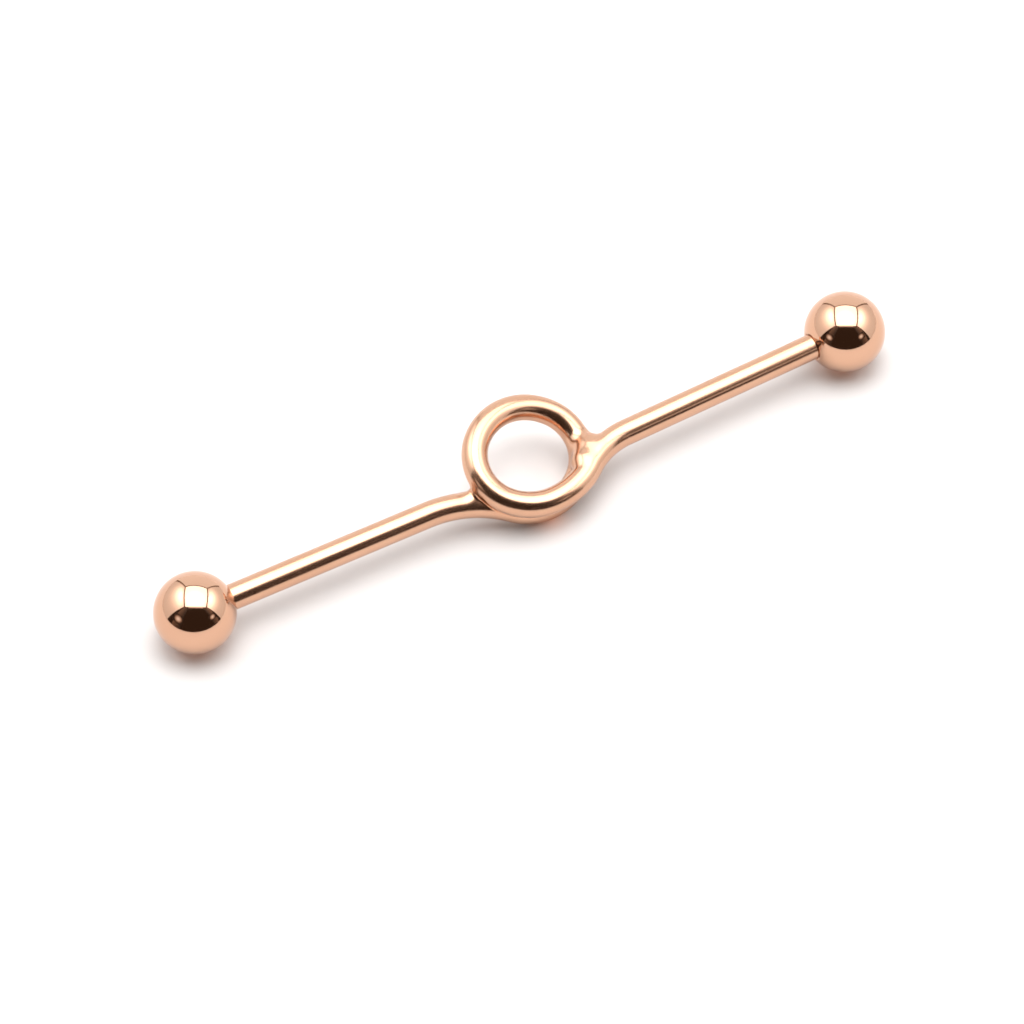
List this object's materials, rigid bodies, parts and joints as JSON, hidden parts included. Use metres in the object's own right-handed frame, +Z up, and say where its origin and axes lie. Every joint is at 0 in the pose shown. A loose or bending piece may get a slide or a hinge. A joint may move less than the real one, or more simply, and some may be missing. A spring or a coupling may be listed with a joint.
{
  "type": "industrial barbell",
  "caption": "Long straight body-piercing bar with a soldered loop bent into its middle and a screw-on ball at each end, in polished rose-gold steel.",
  "frame": {"origin": "under the middle of the barbell, on the flat surface it rests on", "axes": "+X along the bar toward the right ball, +Z up from the surface, +Y toward the side that the loop's raised back leans to"},
  "size_m": [0.0496, 0.0077, 0.005],
  "materials": {
    "bar_metal": "polished rose-gold plating on surgical steel",
    "ball_metal": "mirror-polished rose-gold plating on surgical steel"
  },
  "bodies": {
    "bar": {"bar": "bar_metal"},
    "ball_left": {"ball_left": "ball_metal"},
    "ball_right": {"ball_right": "ball_metal"}
  },
  "joints": [
    {"name": "ball_left_off", "type": "slide", "parent": "bar", "child": "ball_left", "axis": [-0.9999, 0.008, 0.0068], "range_m": [0, 0.005]},
    {"name": "ball_right_off", "type": "slide", "parent": "bar", "child": "ball_right", "axis": [0.9997, 0.0243, 0.0027], "range_m": [0, 0.005]}
  ]
}
